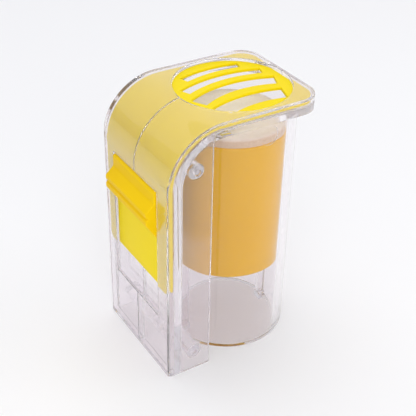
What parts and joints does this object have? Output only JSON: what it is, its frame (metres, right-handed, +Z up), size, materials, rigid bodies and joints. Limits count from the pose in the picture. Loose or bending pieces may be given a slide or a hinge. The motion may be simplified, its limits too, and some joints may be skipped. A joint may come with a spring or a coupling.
{
  "type": "queen cage",
  "caption": "Hand-held cage for catching and marking a queen bee: clear casing and tube, sliding slotted shutter with thumb slider, and a push-up plunger.",
  "frame": {"origin": "centre of the bounding box's bottom: the surface the cage stands on, in the mid-plane between the casing halves", "axes": "+Z up along the chamber tube; +X from the window and thumb slider towards the tube; +Y towards the far casing half"},
  "size_m": [0.0568, 0.04, 0.0867],
  "materials": {
    "clear_casing": "clear polished moulding",
    "clear_tube": "clear polished moulding",
    "shutter_yellow": "satin flexible plastic",
    "slider_yellow": "satin moulded plastic",
    "plunger_amber": "satin moulded plastic",
    "pad_foam": "fine soft foam"
  },
  "bodies": {
    "casing": {"near_casing": "clear_casing", "far_casing": "clear_casing", "chamber_tube": "clear_tube", "shutter_grille": "shutter_yellow", "shutter_bend": "shutter_yellow"},
    "shutter": {"shutter_tail": "shutter_yellow", "thumb_slider": "slider_yellow"},
    "plunger": {"plunger_cup": "plunger_amber", "plunger_pad": "pad_foam"}
  },
  "joints": [
    {"name": "shutter_slide", "type": "slide", "parent": "casing", "child": "shutter", "axis": [0, 0, -1], "range_m": [0, 0.0282], "deforming": ["shutter_bend", "shutter_grille"]},
    {"name": "plunger_slide", "type": "slide", "parent": "casing", "child": "plunger", "axis": [0, 0, 1], "range_m": [0, 0.0069]}
  ]
}
